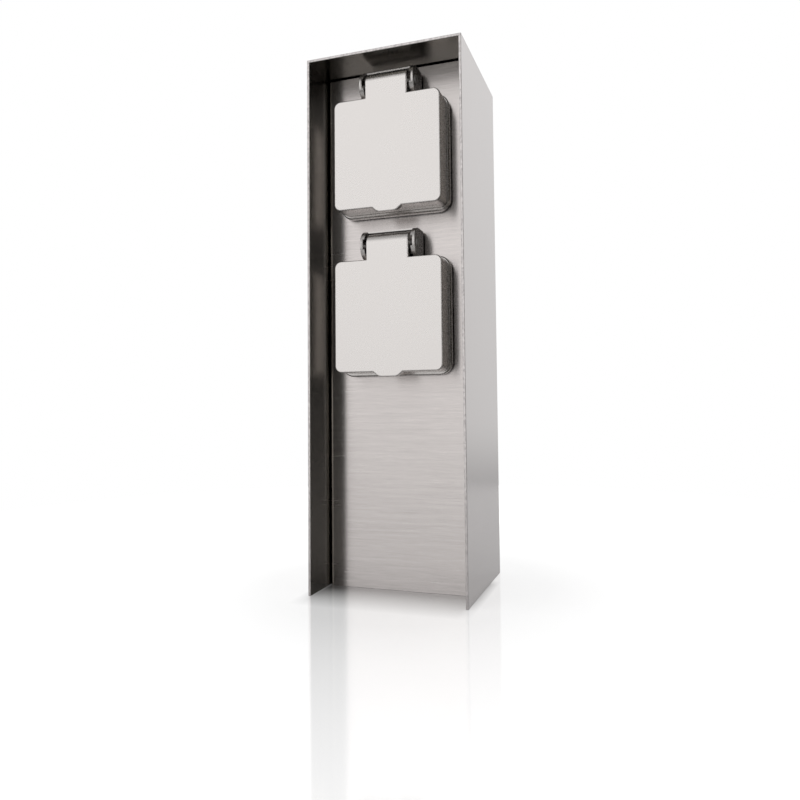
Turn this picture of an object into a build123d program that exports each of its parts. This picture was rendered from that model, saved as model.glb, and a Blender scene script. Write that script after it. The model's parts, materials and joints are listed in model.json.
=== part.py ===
"""Outdoor socket post: a folded stainless-steel post with two sprung-lid mains sockets.

Millimetres, +Z up. The origin is the middle of the footprint, at ground level, and the
open front of the post faces -Y.
"""

import os
from math import pi

from build123d import *

# Post, folded from stainless sheet
post_width = 90.0
post_depth = 85.0
post_height = 300.0
sheet = 1.5
fold_radius = 2.5
edge_break = 0.3
panel_recess = 25.0
panel_side_gap = 1.0
panel_top_gap = 0.8
panel_flange = 5.0

# Base plate and what is fixed to it
base_sheet = 2.0
base_side_play = 0.5
base_front_flange = 40.0
base_rear_flange = 44.0
floor_hole_radius = 3.5
floor_hole_spacing_x = 60.0
floor_hole_spacing_y = 36.0
cable_radius = 6.5
cable_set_in = 15.0
grommet_wall = 2.5
grommet_lip = 2.5
grommet_lip_thickness = 1.8
clamp_height = 28.0
clamp_breadth = 12.0
clamp_strap = 2.5
clamp_foot = 9.0
clamp_screw_radius = 1.5
clamp_head_radius = 2.8
clamp_head_height = 1.8
earth_stud_radius = 2.0
earth_stud_height = 13.0
earth_stud_x = -16.0
earth_stud_set_back = 14.0
earth_nut_size = 7.0
earth_nut_height = 3.2
lug_thickness = 1.0
lug_reach = 9.0
lug_barrel_height = 9.0
lug_barrel_wall = 0.7

# Small screws and nuts, M3 countersunk
screw_radius = 1.5
screw_head_radius = 3.0
screw_play = 0.25
recess_width = 0.7
recess_depth = 0.8
nut_size = 5.5
nut_height = 2.4
thread_past_nut = 1.0
housing_screw_x = 28.0
housing_screw_z = 14.0
frame_screw_margin = 0.7

# Plug well and its insulating insert
well_radius = 19.5
well_depth = 17.5
well_floor = 4.0
well_chamfer = 0.8
guide_rib_width = 4.6
guide_rib_reach = 1.9
guide_rib_set_back = 1.5
plug_pin_spacing = 19.0
plug_hole_radius = 2.45
insert_proud = 9.0
insert_wall = 4.2
insert_body_wall = 2.7
insert_flange_reach = 2.1
insert_flange_thickness = 1.8
insert_play = 0.2
insert_length = 24.0
cover_thickness = 4.0
cover_screw_set_in = 4.2
cover_screw_length = 10.0
cover_screw_radius = 1.2
cover_head_radius = 2.3
cover_head_height = 1.5

# Contacts
chamber_width = 8.8
chamber_height = 12.0
contact_play = 0.2
sleeve_bore = 2.45
sleeve_wall = 0.8
sleeve_slit = 0.7
terminal_depth = 5.0
clip_width = 6.0
clip_thickness = 0.8
clip_set_out = 0.9
clip_bulge = 2.0
clip_bulge_out = 1.0
clip_tip_out = 6.0
clip_tip_set_in = 0.9
clip_slot_play = 0.4
clip_fold = 1.4
earth_block_width = 6.8
earth_block_height = 9.0
earth_block_depth = 3.5

# Socket frame and gasket
gasket_thickness = 1.8
gasket_inset = 0.6
gasket_hole_play = 0.4
frame_margin_x = 1.3
frame_margin_z = 1.8
frame_thickness = 3.4
frame_corner = 6.8
frame_edge = 0.6
collar_wall = 2.2
collar_height = 8.0
panel_hole_play = 0.6
hood_clearance = 5.3
socket_gap = 9.9

# Lid
lid_proud = 18.5
lid_wall = 2.0
lid_corner = 3.8
lid_edge = 0.8
lid_gap = 0.5
lid_clearance = 2.2
seal_overhang = 0.9
seal_gap = 0.3
finger_lip_width = 21.0
finger_lip_slope = 40.0
finger_lip_reach = 2.7
finger_lip_thickness = 3.0
finger_lip_corner = 1.6
finger_lip_edge = 0.4

# Hinge
pin_radius = 1.5
pin_play = 0.05
pin_above_frame = 7.0
knuckle_radius = 6.1
tab_width = 24.6
tab_thickness = 2.6
tab_edge = 0.8
ear_gap = 1.2
ear_thickness = 2.5
ear_radius = 8.4
ear_set_back = 0.2
ear_edge = 0.4
bracket_lip = 1.2
snap_slot_height = 5.6
snap_slot_depth = 0.9
spring_wire = 0.8
spring_radius = 3.1
spring_pitch = 0.95
spring_turns = 8
spring_room = 0.9
spring_seat = 1.2
spring_seat_play = 0.1
spring_window_set_out = 0.8

# Leads and terminal block
lead_radius = 1.4
lead_hole_play = 0.5
lead_spacing = 6.4
lead_run_back = 18.0
lead_bend = 8.0
block_below_socket = 50.0
block_pitch = 9.5
block_height = 18.0
block_depth = 14.0
block_end = 5.5
block_lead_depth = 7.0
block_bore_wall = 1.2
block_screw_radius = 1.4
block_screw_head = 2.1
block_screw_spacing = 9.0
block_screw_sink = 1.6
stud_past_nut = 2.0

# Places in the post, worked out from the sizes above
inner_half = post_width / 2 - sheet
front_y = -post_depth / 2
back_inner_y = post_depth / 2 - sheet
panel_y = front_y + panel_recess
panel_back_y = panel_y + sheet
panel_half = inner_half - panel_side_gap
hood_z = post_height - sheet
panel_top = hood_z - panel_top_gap
base_half = panel_half - fold_radius - base_side_play
base_front_y = panel_back_y
base_inner_y = back_inner_y - base_sheet
base_middle_y = (base_front_y + back_inner_y) / 2
cable_y = base_inner_y - cable_set_in

# Radii of the socket, from the plug well outwards
insert_radius = well_radius + insert_wall
insert_body_radius = well_radius + insert_body_wall
insert_flange_radius = insert_radius + insert_flange_reach
aperture_radius = insert_radius + insert_play
collar_radius = aperture_radius + collar_wall
seal_radius = collar_radius + seal_overhang

# Heights of the socket's parts out from the panel's face
frame_face = gasket_thickness + frame_thickness
collar_face = frame_face + collar_height
lid_rear = frame_face + lid_gap
lid_inner_face = lid_proud - lid_wall
well_bottom = insert_proud - well_depth
chamber_front = well_bottom - well_floor
insert_rear = -insert_length
cover_rear = insert_rear - cover_thickness
pin_out = lid_proud - knuckle_radius
ear_out = lid_proud - ear_set_back - ear_radius

# Spread of the socket's parts, across and up
lid_half = seal_radius + lid_clearance + lid_wall
frame_width = 2 * (lid_half + frame_margin_x)
frame_height = 2 * (lid_half + frame_margin_z)
frame_screw_offset = lid_half - lid_wall - screw_head_radius - frame_screw_margin
pin_rise = frame_height / 2 + pin_above_frame
bracket_top = pin_rise + ear_radius
ear_inner = tab_width / 2 + ear_gap
ear_outer = ear_inner + ear_thickness
spring_length = spring_pitch * spring_turns
spring_half = spring_length / 2 + spring_wire
spring_slope = spring_pitch / (2 * pi * spring_radius)
wall_leg = pin_out - frame_face + spring_seat
wall_leg_x = spring_length / 2 + spring_slope * wall_leg
tab_leg = lid_proud - tab_thickness + spring_seat - pin_out
tab_leg_x = -spring_length / 2 - spring_slope * tab_leg
cover_screw_x = insert_body_radius - cover_screw_set_in
contact_x = plug_pin_spacing / 2
clip_leg = well_radius + clip_set_out
clip_slot_top = clip_leg + clip_thickness / 2 + clip_slot_play
clip_slot_bottom = well_radius - clip_bulge - clip_thickness / 2 - clip_slot_play
clip_slot_half = clip_width / 2 + clip_slot_play

upper_centre = hood_z - hood_clearance - bracket_top
lower_centre = upper_centre - frame_height / 2 - bracket_top - socket_gap
block_top = lower_centre - block_below_socket
block_middle = block_top - block_height / 2
block_lead_y = panel_back_y + block_lead_depth
block_rear_y = panel_back_y + block_depth


def save(piece, name):
    """Labels a finished piece and writes it."""
    piece.part.label = name
    export_step(piece.part, f"parts/{name}.step")


def front_plane(centre, out=0.0):
    """The plane out from the panel's face at a socket's centre, seen from the front."""
    return Plane(origin=(0, panel_y - out, centre), x_dir=(1, 0, 0), z_dir=(0, -1, 0))


def side_plane(centre):
    """The socket's middle plane, where X runs out from the panel and Y runs up."""
    return Plane(origin=(0, panel_y, centre), x_dir=(0, -1, 0), z_dir=(-1, 0, 0))


def frame_screw_places():
    """The four places of a frame's screws."""
    return GridLocations(2 * frame_screw_offset, 2 * frame_screw_offset, 2, 2)


def housing_shell():
    """The outer sheet: top, two sides and back, open to the front and below."""
    with BuildPart() as shell:
        with BuildSketch(Plane.XY):
            Rectangle(post_width, post_depth)
        extrude(amount=post_height)
        fillet(shell.edges().filter_by(Axis.Z).group_by(Axis.Y)[-1], fold_radius)
        inner_depth = post_depth - sheet + fold_radius
        with BuildSketch(Plane.XY):
            with Locations((0, back_inner_y - inner_depth / 2)):
                RectangleRounded(2 * inner_half, inner_depth, fold_radius - sheet)
            with Locations((0, front_y)):
                Rectangle(2 * inner_half, 2 * fold_radius)
        extrude(amount=hood_z, mode=Mode.SUBTRACT)
        fillet(shell.edges().group_by(Axis.Z)[-1].sort_by(Axis.Y)[1:], edge_break)
        fillet(shell.edges().group_by(Axis.Y)[0], edge_break)
        rear = Plane(origin=(0, post_depth / 2, housing_screw_z), x_dir=(-1, 0, 0), z_dir=(0, 1, 0))
        with Locations(rear):
            with GridLocations(2 * housing_screw_x, 1, 2, 1):
                CounterSinkHole(screw_radius + screw_play, screw_head_radius, sheet, 90)
    save(shell, "housing_shell")


def front_panel():
    """The recessed front with its side flanges, cut out for the two sockets."""
    with BuildPart() as panel:
        with BuildSketch(Plane.XY):
            with Locations((0, panel_y + panel_flange / 2)):
                Rectangle(2 * panel_half, panel_flange)
            fillet(vertices().group_by(Axis.Y)[0], fold_radius)
            with Locations((0, panel_back_y + panel_flange / 2)):
                Rectangle(2 * (panel_half - sheet), panel_flange, mode=Mode.SUBTRACT)
            fillet(vertices().group_by(Axis.Y)[1], fold_radius - sheet)
        extrude(amount=panel_top)
        for centre in (upper_centre, lower_centre):
            with BuildSketch(front_plane(centre)):
                Circle(insert_body_radius + panel_hole_play)
                with frame_screw_places():
                    Circle(screw_radius + screw_play)
            extrude(amount=-2 * sheet, mode=Mode.SUBTRACT)
    save(panel, "front_panel")


def base_plate():
    """The floor plate with a flange behind the panel and one against the back wall."""
    with BuildPart() as base:
        with BuildSketch(Plane.YZ) as profile:
            with Locations((base_middle_y, 0)):
                Rectangle(back_inner_y - base_front_y, base_rear_flange, align=(Align.CENTER, Align.MIN))
            front_edge = (base_front_y, base_rear_flange)
            with Locations(front_edge):
                Rectangle(base_sheet, base_rear_flange - base_front_flange,
                          align=(Align.MIN, Align.MAX), mode=Mode.SUBTRACT)
            with Locations((base_front_y + base_sheet, base_sheet)):
                Rectangle(base_inner_y - base_front_y - base_sheet, base_rear_flange,
                          align=Align.MIN, mode=Mode.SUBTRACT)
            outer, inner = profile.vertices().group_by(Axis.Y)[:2]
            fillet(inner, fold_radius - sheet)
            fillet(outer, fold_radius - sheet + base_sheet)
        extrude(amount=base_half, both=True)
        with BuildSketch(Plane.XY):
            with Locations((0, base_middle_y)):
                with GridLocations(floor_hole_spacing_x, floor_hole_spacing_y, 2, 2):
                    Circle(floor_hole_radius)
            with Locations((0, cable_y)):
                Circle(cable_radius + grommet_wall)
        extrude(amount=base_sheet, mode=Mode.SUBTRACT)
        rear = Plane(origin=(0, back_inner_y, 0), x_dir=(-1, 0, 0), z_dir=(0, 1, 0))
        with BuildSketch(rear):
            with Locations((0, housing_screw_z)):
                with GridLocations(2 * housing_screw_x, 1, 2, 1):
                    Circle(screw_radius + screw_play)
            with Locations((0, clamp_height)):
                with GridLocations(2 * clamp_screw_x(), 1, 2, 1):
                    Circle(clamp_screw_radius)
        extrude(amount=-base_sheet, mode=Mode.SUBTRACT)
    save(base, "base_plate")


def clamp_screw_x():
    """How far the clamp's screws stand from the post's middle plane."""
    return cable_radius + clamp_strap + clamp_foot / 2


def housing_screws():
    """Countersunk screws through the back wall, flush with it."""
    rear = Plane(origin=(0, post_depth / 2, housing_screw_z), x_dir=(-1, 0, 0), z_dir=(0, 1, 0))
    length = sheet + base_sheet + nut_height + thread_past_nut
    with BuildPart() as screws:
        with Locations(rear):
            with GridLocations(2 * housing_screw_x, 1, 2, 1):
                countersunk_screw(length)
    save(screws, "housing_screws")


def housing_nuts():
    """Weld nuts on the inner side of the base plate's rear flange."""
    inner = Plane(origin=(0, base_inner_y, housing_screw_z), x_dir=(1, 0, 0), z_dir=(0, -1, 0))
    with BuildPart() as nuts:
        with BuildSketch(inner):
            with GridLocations(2 * housing_screw_x, 1, 2, 1):
                RegularPolygon(nut_size / 2, 6, major_radius=False)
                Circle(screw_radius, mode=Mode.SUBTRACT)
        extrude(amount=nut_height)
    save(nuts, "housing_nuts")


def countersunk_screw(length):
    """A countersunk screw whose flat head lies in the current plane, pointing down."""
    sink = screw_head_radius - screw_radius
    Cone(screw_radius, screw_head_radius, sink, align=(Align.CENTER, Align.CENTER, Align.MAX))
    Cylinder(screw_radius, length, align=(Align.CENTER, Align.CENTER, Align.MAX))
    for angle in (0, 90):
        Box(2 * screw_radius, recess_width, recess_depth, rotation=(0, 0, angle),
            align=(Align.CENTER, Align.CENTER, Align.MAX), mode=Mode.SUBTRACT)


def cable_grommet():
    """The edge ring of the cable entry, flush below and lipped above the base plate."""
    with BuildPart() as grommet:
        with BuildSketch(Plane.XY):
            with Locations((0, cable_y)):
                Circle(cable_radius + grommet_wall)
        extrude(amount=base_sheet)
        with BuildSketch(Plane.XY.offset(base_sheet)):
            with Locations((0, cable_y)):
                Circle(cable_radius + grommet_wall + grommet_lip)
        extrude(amount=grommet_lip_thickness)
        fillet(grommet.edges().group_by(Axis.Z)[-1], grommet_lip_thickness / 2)
        with BuildSketch(Plane.XY):
            with Locations((0, cable_y)):
                Circle(cable_radius)
        extrude(amount=base_sheet + grommet_lip_thickness, mode=Mode.SUBTRACT)
    save(grommet, "cable_grommet")


def clamp_plane():
    """The level of the cable clamp, where X runs across and Y runs to the back."""
    return Plane.XY.offset(clamp_height - clamp_breadth / 2)


def clamp_saddle():
    """The moulded block between the rear flange and the cable."""
    depth = base_inner_y - cable_y
    width = 2 * (cable_radius + clamp_strap + clamp_foot)
    with BuildPart() as saddle:
        with BuildSketch(clamp_plane()):
            with Locations((0, cable_y + depth / 2)):
                Rectangle(width, depth)
            with Locations((0, cable_y)):
                Circle(cable_radius, mode=Mode.SUBTRACT)
        extrude(amount=clamp_breadth)
        with BuildSketch(Plane.XZ.offset(-cable_y)):
            with Locations((0, clamp_height)):
                with GridLocations(2 * clamp_screw_x(), 1, 2, 1):
                    Circle(clamp_screw_radius + screw_play)
        extrude(amount=-depth, mode=Mode.SUBTRACT)
    save(saddle, "clamp_saddle")


def clamp_strap_piece():
    """The omega strap that holds the supply cable against the saddle."""
    width = 2 * (cable_radius + clamp_strap + clamp_foot)
    with BuildPart() as strap:
        with BuildSketch(clamp_plane()):
            with Locations((0, cable_y)):
                Circle(cable_radius + clamp_strap)
                Rectangle(width, clamp_strap, align=(Align.CENTER, Align.MAX))
                Circle(cable_radius, mode=Mode.SUBTRACT)
                Rectangle(width, post_depth, align=(Align.CENTER, Align.MIN), mode=Mode.SUBTRACT)
        extrude(amount=clamp_breadth)
        with BuildSketch(Plane.XZ.offset(-cable_y)):
            with Locations((0, clamp_height)):
                with GridLocations(2 * clamp_screw_x(), 1, 2, 1):
                    Circle(clamp_screw_radius + screw_play)
        extrude(amount=clamp_strap, mode=Mode.SUBTRACT)
    save(strap, "cable_clamp")


def clamp_screws():
    """Pan-head screws through strap and saddle into the rear flange."""
    seat = Plane(origin=(0, cable_y - clamp_strap, clamp_height), x_dir=(1, 0, 0), z_dir=(0, -1, 0))
    depth = base_inner_y + base_sheet - cable_y + clamp_strap
    with BuildPart() as screws:
        with BuildSketch(seat):
            with GridLocations(2 * clamp_screw_x(), 1, 2, 1):
                Circle(clamp_head_radius)
        extrude(amount=clamp_head_height)
        fillet(screws.edges().group_by(Axis.Y)[0], clamp_head_height / 3)
        with BuildSketch(seat):
            with GridLocations(2 * clamp_screw_x(), 1, 2, 1):
                Circle(clamp_screw_radius)
        extrude(amount=-depth)
        with BuildSketch(seat.offset(clamp_head_height)):
            with GridLocations(2 * clamp_screw_x(), 1, 2, 1):
                Rectangle(2 * clamp_screw_radius, recess_width)
                Rectangle(recess_width, 2 * clamp_screw_radius)
        extrude(amount=-recess_depth, mode=Mode.SUBTRACT)
    save(screws, "clamp_screws")


def earth_stud():
    """The weld stud on the base plate that bonds the metal post to earth."""
    with BuildPart() as stud:
        with BuildSketch(Plane.XY.offset(base_sheet)):
            with Locations((earth_stud_x, base_front_y + earth_stud_set_back)):
                Circle(earth_stud_radius)
        extrude(amount=earth_stud_height)
        chamfer(stud.edges().group_by(Axis.Z)[-1], edge_break)
    save(stud, "earth_stud")


def earth_lug():
    """The ring lug on the stud, bent up into the barrel that holds its lead."""
    ring_radius = earth_nut_size / 2 + lug_thickness
    with BuildPart() as lug:
        with BuildSketch(Plane.XY.offset(base_sheet)):
            with Locations((earth_stud_x, base_front_y + earth_stud_set_back)):
                Circle(ring_radius)
                Rectangle(lug_reach, 2 * barrel_radius(), align=(Align.MIN, Align.CENTER))
            with Locations((earth_stud_x + lug_reach, base_front_y + earth_stud_set_back)):
                Circle(barrel_radius())
            with Locations((earth_stud_x, base_front_y + earth_stud_set_back)):
                Circle(earth_stud_radius, mode=Mode.SUBTRACT)
        extrude(amount=lug_thickness)
        with BuildSketch(Plane.XY.offset(base_sheet + lug_thickness)):
            with Locations((earth_stud_x + lug_reach, base_front_y + earth_stud_set_back)):
                Circle(barrel_radius())
                Circle(lead_radius, mode=Mode.SUBTRACT)
        extrude(amount=lug_barrel_height)
    save(lug, "earth_lug")


def barrel_radius():
    """The outer radius of the lug's crimp barrel."""
    return lead_radius + lug_barrel_wall


def earth_nut():
    """The nut that holds the earth lug on its stud."""
    with BuildPart() as nut:
        with BuildSketch(Plane.XY.offset(base_sheet + lug_thickness)):
            with Locations((earth_stud_x, base_front_y + earth_stud_set_back)):
                RegularPolygon(earth_nut_size / 2, 6, major_radius=False)
                Circle(earth_stud_radius, mode=Mode.SUBTRACT)
        extrude(amount=earth_nut_height)
    save(nut, "earth_nut")


def pole_places():
    """The three poles, live, earth and neutral, across the post."""
    return GridLocations(block_pitch, 1, 3, 1)


def stud_places():
    """The two places of the studs that carry the terminal block."""
    return GridLocations(block_pitch, 1, 2, 1)


def block_rear():
    """The terminal block's rear face, seen from behind."""
    return Plane(origin=(0, block_rear_y, block_middle), x_dir=(-1, 0, 0), z_dir=(0, 1, 0))


def terminal_block():
    """The moulded body behind the panel, bored for leads, screws and studs."""
    with BuildPart() as block:
        with BuildSketch(Plane.XY.offset(block_top - block_height)):
            with Locations((0, panel_back_y)):
                Rectangle(2 * (block_pitch + block_end), block_depth, align=(Align.CENTER, Align.MIN))
            with Locations((0, block_lead_y)):
                with pole_places():
                    Circle(lead_radius + block_bore_wall, mode=Mode.SUBTRACT)
        extrude(amount=block_height)
        with BuildSketch(block_rear()):
            with GridLocations(block_pitch, block_screw_spacing, 3, 2):
                Circle(block_screw_head + screw_play)
        extrude(amount=-block_screw_sink, mode=Mode.SUBTRACT)
        with BuildSketch(block_rear().offset(-block_screw_sink)):
            with GridLocations(block_pitch, block_screw_spacing, 3, 2):
                Circle(block_screw_radius)
        extrude(amount=block_lead_depth + block_screw_sink - block_depth, mode=Mode.SUBTRACT)
        with BuildSketch(block_rear()):
            with stud_places():
                Circle(screw_radius + screw_play)
        extrude(amount=-block_depth, mode=Mode.SUBTRACT)
    save(block, "terminal_block")


def block_contacts():
    """The brass tubes of the three poles, each with two screw holes."""
    with BuildPart() as contacts:
        with BuildSketch(Plane.XY.offset(block_top - block_height)):
            with Locations((0, block_lead_y)):
                with pole_places():
                    Circle(lead_radius + block_bore_wall)
                    Circle(lead_radius, mode=Mode.SUBTRACT)
        extrude(amount=block_height)
        with BuildSketch(block_rear()):
            with GridLocations(block_pitch, block_screw_spacing, 3, 2):
                Circle(block_screw_radius)
        extrude(amount=block_lead_depth - block_depth, mode=Mode.SUBTRACT)
    save(contacts, "block_contacts")


def block_screws():
    """The clamping screws, their tips against the leads."""
    seat = block_rear().offset(-block_screw_sink)
    with BuildPart() as screws:
        with BuildSketch(seat):
            with GridLocations(block_pitch, block_screw_spacing, 3, 2):
                Circle(block_screw_radius)
        extrude(amount=block_lead_depth + lead_radius + block_screw_sink - block_depth)
        with BuildSketch(seat):
            with GridLocations(block_pitch, block_screw_spacing, 3, 2):
                Circle(block_screw_head)
                Rectangle(2 * block_screw_head, recess_width, mode=Mode.SUBTRACT)
        extrude(amount=recess_depth)
    save(screws, "block_screws")


def block_studs():
    """Weld studs on the panel's back, between the poles."""
    with BuildPart() as studs:
        with BuildSketch(block_rear()):
            with stud_places():
                Circle(screw_radius)
        extrude(amount=nut_height + stud_past_nut)
        extrude(studs.faces().sort_by(Axis.Y)[:2], amount=block_depth)
        chamfer(studs.edges().group_by(Axis.Y)[-1], edge_break)
    save(studs, "block_studs")


def block_nuts():
    """The nuts that hold the terminal block on its studs."""
    with BuildPart() as nuts:
        with BuildSketch(block_rear()):
            with stud_places():
                RegularPolygon(nut_size / 2, 6, major_radius=False)
                Circle(screw_radius, mode=Mode.SUBTRACT)
        extrude(amount=nut_height)
    save(nuts, "block_nuts")


def lead_tube(points):
    """A lead through the points, with tangent arcs as large as its runs allow."""
    with BuildLine() as route:
        FilletPolyline(*points, radius=lead_bend)
    with BuildSketch(Plane(origin=points[0], z_dir=route.line % 0)) as section:
        Circle(lead_radius)
    sweep(section.sketch, path=route.line)


def pole_leads(name, pole, contact_rear):
    """One pole's two leads: socket to socket, and lower socket to terminal block."""
    x = pole * contact_x
    block_x = pole * block_pitch
    start_y = panel_y + contact_rear
    run_y = start_y + lead_run_back
    upper_z = upper_centre - lead_spacing / 2
    lower_top_z = lower_centre + lead_spacing / 2
    lower_z = lower_centre - lead_spacing / 2
    under_socket_z = lower_centre - insert_body_radius - lead_radius - lead_bend
    with BuildPart() as leads:
        lead_tube([
            (x, start_y, upper_z),
            (x, run_y, upper_z),
            (x, run_y, lower_top_z),
            (x, start_y, lower_top_z),
        ])
        lead_tube([
            (x, start_y, lower_z),
            (x, run_y, lower_z),
            (x, run_y, under_socket_z),
            (block_x, block_lead_y, under_socket_z - lead_run_back / 2),
            (block_x, block_lead_y, block_middle),
        ])
    save(leads, name)


def earth_link():
    """The lead that bonds the base plate, from the terminal block to the lug."""
    lug_x = earth_stud_x + lug_reach
    lug_y = base_front_y + earth_stud_set_back
    lug_z = base_sheet + lug_thickness
    block_bottom = block_top - block_height
    with BuildPart() as link:
        lead_tube([
            (0, block_lead_y, block_middle),
            (0, block_lead_y, block_bottom - 2 * lead_bend),
            (lug_x, lug_y, lug_z + lug_barrel_height + 2 * lead_bend),
            (lug_x, lug_y, lug_z),
        ])
    save(link, "earth_link")


def socket_frame(level, centre):
    """The metal frame with its sealing collar and the ears and lip of the hinge."""
    with BuildPart() as frame:
        with BuildSketch(side_plane(centre)):
            with Locations((ear_out, pin_rise)):
                Circle(ear_radius)
            with Locations((gasket_thickness, pin_rise)):
                Rectangle(ear_out - gasket_thickness, 2 * ear_radius, align=(Align.MIN, Align.CENTER))
                Rectangle(ear_radius, 2 * ear_radius, align=(Align.MAX, Align.CENTER), mode=Mode.SUBTRACT)
        extrude(amount=ear_outer, both=True)
        ear_sides = frame.faces().filter_by(Axis.X)
        fillet(ear_sides.edges().group_by(Axis.Y)[:-1], ear_edge)
        with BuildSketch(side_plane(centre)):
            with Locations((frame_face, bracket_top - bracket_lip)):
                Rectangle(post_depth, 2 * pin_rise, align=(Align.MIN, Align.MAX))
            with Locations((pin_out, bracket_top)):
                Rectangle(post_depth, 4 * ear_radius, align=(Align.MIN, Align.CENTER))
        extrude(amount=ear_inner, both=True, mode=Mode.SUBTRACT)
        with BuildSketch(side_plane(centre)):
            with Locations((pin_out, pin_rise)):
                Rectangle(post_depth, snap_slot_height, align=(Align.MIN, Align.CENTER))
                Circle(snap_slot_height / 2)
        extrude(amount=ear_inner + snap_slot_depth, both=True, mode=Mode.SUBTRACT)
        with BuildSketch(side_plane(centre)):
            with Locations((pin_out, pin_rise)):
                Circle(pin_radius)
        extrude(amount=ear_outer, both=True, mode=Mode.SUBTRACT)
        with BuildSketch(front_plane(centre, frame_face)):
            with Locations((wall_leg_x, pin_rise - spring_radius)):
                Circle(spring_wire / 2 + spring_seat_play)
        extrude(amount=-spring_seat, mode=Mode.SUBTRACT)
        with BuildSketch(front_plane(centre, gasket_thickness)):
            RectangleRounded(frame_width, frame_height, frame_corner)
        extrude(amount=frame_thickness - frame_edge)
        with BuildSketch(front_plane(centre, frame_face - frame_edge)):
            RectangleRounded(frame_width, frame_height, frame_corner)
        extrude(amount=frame_edge, taper=45)
        with BuildSketch(front_plane(centre, gasket_thickness)):
            Circle(collar_radius)
        extrude(amount=collar_face - gasket_thickness)
        fillet(frame.edges().filter_by(GeomType.CIRCLE).group_by(Axis.Y)[0], frame_edge)
        with BuildSketch(front_plane(centre)):
            Circle(aperture_radius)
        extrude(amount=collar_face, mode=Mode.SUBTRACT)
        with BuildSketch(front_plane(centre, gasket_thickness)):
            Circle(insert_flange_radius + insert_play)
        extrude(amount=insert_flange_thickness, mode=Mode.SUBTRACT)
        with Locations(front_plane(centre, frame_face)):
            with frame_screw_places():
                CounterSinkHole(screw_radius + screw_play, screw_head_radius, frame_thickness, 90)
    save(frame, f"{level}_socket_frame")


def socket_gasket(level, centre):
    """The black seal between frame and panel, with a tongue behind the hinge."""
    with BuildPart() as gasket:
        with BuildSketch(front_plane(centre)):
            RectangleRounded(frame_width - 2 * gasket_inset, frame_height - 2 * gasket_inset,
                             frame_corner - gasket_inset)
            Rectangle(2 * (ear_outer - gasket_inset), bracket_top - gasket_inset,
                      align=(Align.CENTER, Align.MIN))
            Circle(insert_body_radius + gasket_hole_play, mode=Mode.SUBTRACT)
            with frame_screw_places():
                Circle(screw_radius + screw_play, mode=Mode.SUBTRACT)
        extrude(amount=gasket_thickness)
    save(gasket, f"{level}_socket_gasket")


def frame_screws(level, centre):
    """The four countersunk screws under the lid, through frame, gasket and panel."""
    with BuildPart() as screws:
        with Locations(front_plane(centre, frame_face)):
            with frame_screw_places():
                countersunk_screw(frame_face + sheet + nut_height + thread_past_nut)
    save(screws, f"{level}_frame_screws")


def frame_nuts(level, centre):
    """The nuts of the frame screws, behind the panel."""
    with BuildPart() as nuts:
        with BuildSketch(front_plane(centre, -sheet)):
            with frame_screw_places():
                RegularPolygon(nut_size / 2, 6, major_radius=False)
                Circle(screw_radius, mode=Mode.SUBTRACT)
        extrude(amount=-nut_height)
    save(nuts, f"{level}_frame_nuts")


def socket_lid(level, centre):
    """The sprung lid: a dished cover with its finger lip and hinge tab."""
    with BuildPart() as lid:
        with BuildSketch(side_plane(centre)):
            with Locations((pin_out, pin_rise)):
                Circle(knuckle_radius)
            with Locations((lid_proud, pin_rise)):
                Rectangle(tab_thickness, pin_rise - lid_half + lid_wall, align=(Align.MAX, Align.MAX))
        extrude(amount=tab_width / 2, both=True)
        fillet(lid.faces().filter_by(Axis.X).edges(), tab_edge)
        with BuildSketch(front_plane(centre, lid_rear)):
            RectangleRounded(2 * lid_half, 2 * lid_half, lid_corner)
        extrude(amount=lid_proud - lid_edge - lid_rear)
        with BuildSketch(front_plane(centre, lid_proud - lid_edge)):
            RectangleRounded(2 * lid_half, 2 * lid_half, lid_corner)
        extrude(amount=lid_edge, taper=45)
        with BuildSketch(front_plane(centre, lid_proud - finger_lip_thickness)):
            finger_lip_outline()
        extrude(amount=finger_lip_thickness - finger_lip_edge)
        with BuildSketch(front_plane(centre, lid_proud - finger_lip_edge)):
            finger_lip_outline()
        extrude(amount=finger_lip_edge, taper=45)
        with BuildSketch(front_plane(centre, lid_rear)):
            RectangleRounded(2 * (lid_half - lid_wall), 2 * (lid_half - lid_wall), lid_corner - lid_wall)
        extrude(amount=lid_inner_face - lid_rear, mode=Mode.SUBTRACT)
        with BuildSketch(side_plane(centre)):
            with Locations((pin_out, pin_rise)):
                Circle(spring_radius + spring_wire / 2 + spring_room)
            with Locations((pin_out + spring_window_set_out, pin_rise)):
                Rectangle(2 * knuckle_radius, 2 * knuckle_radius, align=(Align.MAX, Align.CENTER))
            with Locations((lid_proud - tab_thickness, pin_rise)):
                Rectangle(2 * knuckle_radius, 2 * knuckle_radius, align=(Align.MAX, Align.MAX))
        extrude(amount=spring_half, both=True, mode=Mode.SUBTRACT)
        with BuildSketch(side_plane(centre)):
            with Locations((pin_out, pin_rise)):
                Circle(pin_radius + pin_play)
        extrude(amount=tab_width, both=True, mode=Mode.SUBTRACT)
        with BuildSketch(front_plane(centre, lid_proud - tab_thickness)):
            with Locations((tab_leg_x, pin_rise - spring_radius)):
                Circle(spring_wire / 2 + spring_seat_play)
        extrude(amount=spring_seat, mode=Mode.SUBTRACT)
    save(lid, f"{level}_lid")


def finger_lip_outline():
    """The lip's rounded trapezium, rooted inside the lid's lower edge."""
    root = -lid_half + 2 * lid_edge
    reach = finger_lip_reach + 2 * lid_edge
    with Locations((0, root)):
        lip = Trapezoid(finger_lip_width, reach, finger_lip_slope, rotation=180,
                        align=(Align.CENTER, Align.MIN))
    fillet(lip.vertices().group_by(Axis.Y)[0], finger_lip_corner)


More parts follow.
